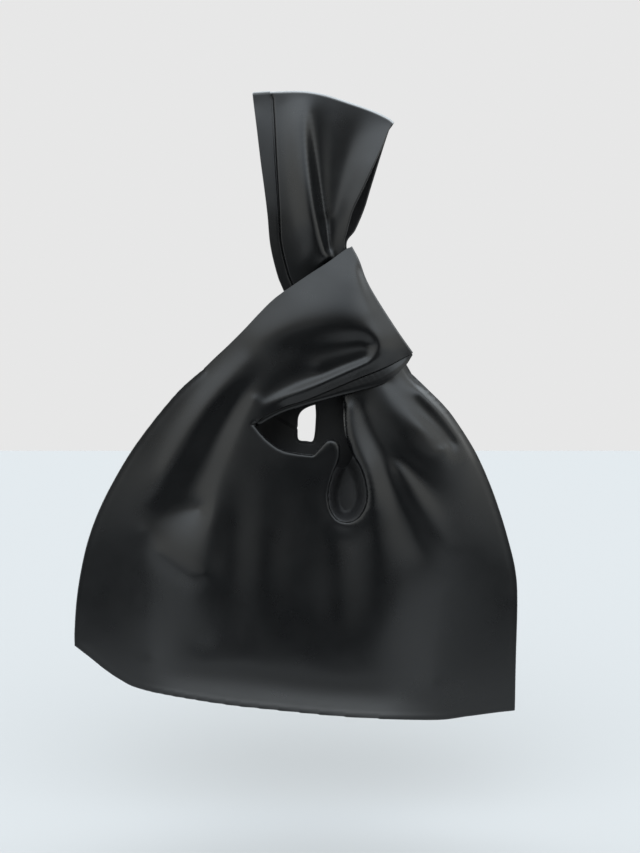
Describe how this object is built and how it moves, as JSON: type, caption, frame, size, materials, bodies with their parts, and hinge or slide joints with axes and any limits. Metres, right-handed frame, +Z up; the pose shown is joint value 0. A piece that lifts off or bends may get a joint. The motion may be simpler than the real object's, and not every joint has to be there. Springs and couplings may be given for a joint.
{
  "type": "knot bag",
  "caption": "Slouchy knot bag in black faux leather: the long strap is drawn through the short strap's loop, so hanging it by the long strap closes the pouch.",
  "frame": {"origin": "underside of the long strap's crown, where a hook, peg or wrist carries the bag", "axes": "+X to the right seen from the front, +Y from front to back, +Z up"},
  "size_m": [0.3542, 0.06, 0.5056],
  "materials": {
    "outer_leather": "semi-gloss, fine grain, soft",
    "lining_cloth": "matt woven lining"
  },
  "bodies": {
    "long_handle": {"long_strap_front": "outer_leather", "long_strap_back": "outer_leather", "long_strap_facing": "lining_cloth", "long_strap_hem_front": "outer_leather", "long_strap_hem_back": "outer_leather"},
    "bag": {"front_panel": "outer_leather", "back_panel": "outer_leather", "front_lining": "lining_cloth", "back_lining": "lining_cloth", "long_strap_gather": "outer_leather"},
    "short_loop": {"short_strap_front": "outer_leather", "short_strap_back": "outer_leather", "short_strap_facing_front": "lining_cloth", "short_strap_facing_back": "lining_cloth", "short_strap_hem_front": "outer_leather", "short_strap_hem_back": "outer_leather"}
  },
  "joints": [
    {"name": "handle_swing", "type": "hinge", "parent": "long_handle", "child": "bag", "pos_m": [0.0135, 0, -0.104], "axis": [1, 0, 0], "range_deg": [-45, 45]},
    {"name": "knot_slide", "type": "slide", "parent": "bag", "child": "short_loop", "axis": [0.3401, 0, 0.9404], "range_m": [0, 0.018]}
  ]
}
